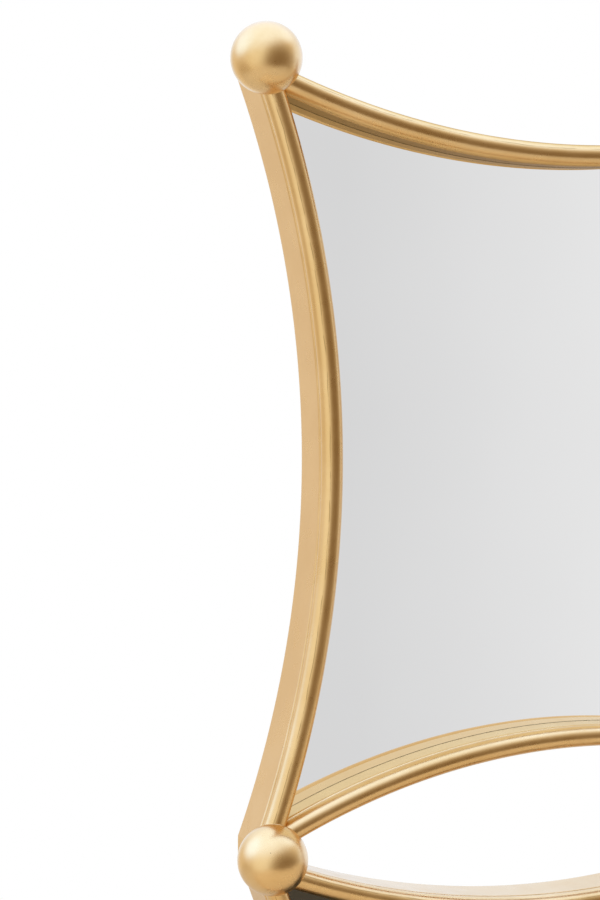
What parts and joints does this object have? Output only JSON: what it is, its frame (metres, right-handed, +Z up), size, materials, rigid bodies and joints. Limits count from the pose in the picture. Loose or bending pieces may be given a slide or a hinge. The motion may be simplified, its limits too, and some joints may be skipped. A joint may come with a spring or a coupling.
{
  "type": "vanity table with mirror",
  "caption": "Vanity table: bowed gold frames with ball corners hold a fixed mirror, dark gloss panels, an ivory gloss top and a black case of sliding drawers.",
  "frame": {"origin": "on the floor, at the middle of the bounding box", "axes": "+Z up, +X to the right of the person facing the mirror, -Y towards that person"},
  "size_m": [1.13, 0.4952, 1.5695],
  "materials": {
    "gold_leaf": "satin gold leaf on iron",
    "gold_knob": "satin gold knobs",
    "black_gloss": "black gloss lacquer on board",
    "black_glass": "dark gloss back-painted sheet",
    "ivory_glass": "ivory gloss back-painted sheet",
    "mirror_silver": "silvered mirror glass",
    "backing_board": "dark painted fibre board",
    "drawer_wood": "lacquered plywood",
    "plated_steel": "zinc plated",
    "felt": "felt"
  },
  "bodies": {
    "table": {"mirror_left_stile": "gold_leaf", "mirror_right_stile": "gold_leaf", "mirror_top_rail": "gold_leaf", "mirror_bottom_rail": "gold_leaf", "panel_left_stile": "gold_leaf", "panel_right_stile": "gold_leaf", "panel_top_rail": "gold_leaf", "panel_bottom_rail": "gold_leaf", "frame_links": "gold_leaf", "top_balls": "gold_leaf", "middle_balls": "gold_leaf", "screen_foot_balls": "gold_leaf", "mirror_glass": "mirror_silver", "mirror_backboard": "backing_board", "mirror_clips": "plated_steel", "back_panel": "black_glass", "back_panel_clips": "plated_steel", "left_front_leg": "gold_leaf", "left_rear_leg": "gold_leaf", "left_top_rail": "gold_leaf", "left_bottom_rail": "gold_leaf", "left_end_balls": "gold_leaf", "left_end_panel": "black_glass", "right_front_leg": "gold_leaf", "right_rear_leg": "gold_leaf", "right_top_rail": "gold_leaf", "right_bottom_rail": "gold_leaf", "right_end_balls": "gold_leaf", "right_end_panel": "black_glass", "floor_glides": "felt", "table_top": "ivory_glass", "top_trim": "gold_leaf", "case_left_end": "black_gloss", "case_right_end": "black_gloss", "case_bottom": "black_gloss", "case_back": "black_gloss", "left_divider": "black_gloss", "right_divider": "black_gloss", "end_frame_lugs": "plated_steel", "lug_bolts": "plated_steel", "screen_spacers": "gold_leaf", "screen_bolts": "plated_steel", "left_slide_channels": "plated_steel", "center_slide_channels": "plated_steel", "right_slide_channels": "plated_steel"},
    "left_drawer": {"left_drawer_front": "black_gloss", "left_drawer_box": "drawer_wood", "left_drawer_runners": "plated_steel", "left_drawer_knob": "gold_knob", "left_knob_screw": "plated_steel"},
    "center_drawer": {"center_drawer_front": "black_gloss", "center_drawer_box": "drawer_wood", "center_drawer_runners": "plated_steel", "center_drawer_knob": "gold_knob", "center_knob_screw": "plated_steel"},
    "right_drawer": {"right_drawer_front": "black_gloss", "right_drawer_box": "drawer_wood", "right_drawer_runners": "plated_steel", "right_drawer_knob": "gold_knob", "right_knob_screw": "plated_steel"}
  },
  "joints": [
    {"name": "left_drawer_slide", "type": "slide", "parent": "table", "child": "left_drawer", "axis": [0, -1, 0], "range_m": [0, 0.25]},
    {"name": "center_drawer_slide", "type": "slide", "parent": "table", "child": "center_drawer", "axis": [0, -1, 0], "range_m": [0, 0.25]},
    {"name": "right_drawer_slide", "type": "slide", "parent": "table", "child": "right_drawer", "axis": [0, -1, 0], "range_m": [0, 0.25]}
  ]
}
